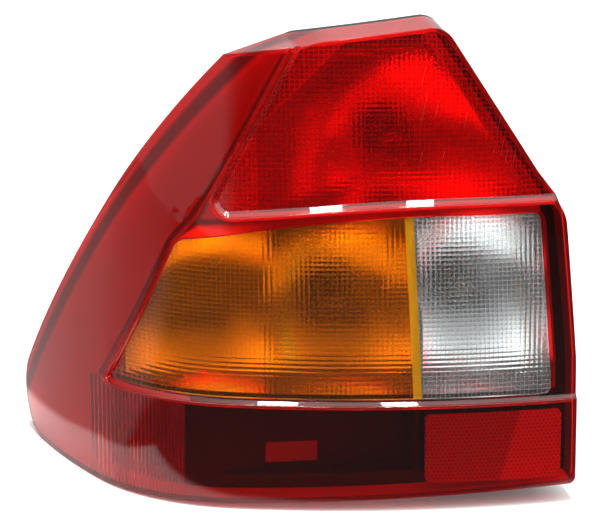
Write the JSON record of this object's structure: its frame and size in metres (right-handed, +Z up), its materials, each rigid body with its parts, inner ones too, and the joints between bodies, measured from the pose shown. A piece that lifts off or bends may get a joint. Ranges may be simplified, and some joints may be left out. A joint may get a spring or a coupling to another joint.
{
  "type": "tail light cluster",
  "caption": "Wrap-round rear lamp for the left corner of a car, with stepped red, amber and clear lens fields, a reflex reflector, bulbs on a carrier and studs on its back.",
  "frame": {"origin": "root of the locating peg on the flat back face of the housing", "axes": "+X towards the car's centreline, +Y towards the car's front along the peg and studs, +Z up"},
  "size_m": [0.3104, 0.2377, 0.279],
  "materials": {
    "red_acrylic": "moulded glossy",
    "amber_acrylic": "moulded glossy",
    "clear_acrylic": "moulded glossy",
    "reflex_acrylic": "prismatic back",
    "butyl_sealant": "matt",
    "black_abs": "fine moulded grain",
    "natural_nylon": "matt moulded",
    "epdm_foam": "cellular matt",
    "zinc_steel": "zinc plated",
    "black_rubber": "matt",
    "metallised_abs": "vacuum metallised",
    "grey_nylon": "matt moulded",
    "tinned_brass": "tinned",
    "bulb_glass": "clear",
    "bulb_brass": "nickel plated",
    "tungsten": "drawn wire"
  },
  "bodies": {
    "root": {"red_lens": "red_acrylic", "amber_lens": "amber_acrylic", "clear_lens": "clear_acrylic", "reflex_plate": "reflex_acrylic", "lens_sealant": "butyl_sealant", "housing": "black_abs", "blanking_plug": "natural_nylon", "body_seal": "epdm_foam", "mounting_studs": "zinc_steel", "vent_cap": "black_rubber", "stop_reflector": "metallised_abs", "turn_reflector": "metallised_abs", "reverse_reflector": "metallised_abs", "bulb_carrier": "grey_nylon", "carrier_gasket": "black_rubber", "earth_track": "tinned_brass", "tail_track": "tinned_brass", "stop_track": "tinned_brass", "turn_track": "tinned_brass", "reverse_track": "tinned_brass", "stop_bulb_glass": "bulb_glass", "stop_bulb_base": "bulb_brass", "stop_bulb_filament": "tungsten", "turn_bulb_glass": "bulb_glass", "turn_bulb_base": "bulb_brass", "turn_bulb_filament": "tungsten", "reverse_bulb_glass": "bulb_glass", "reverse_bulb_base": "bulb_brass", "reverse_bulb_filament": "tungsten"}
  },
  "joints": []
}
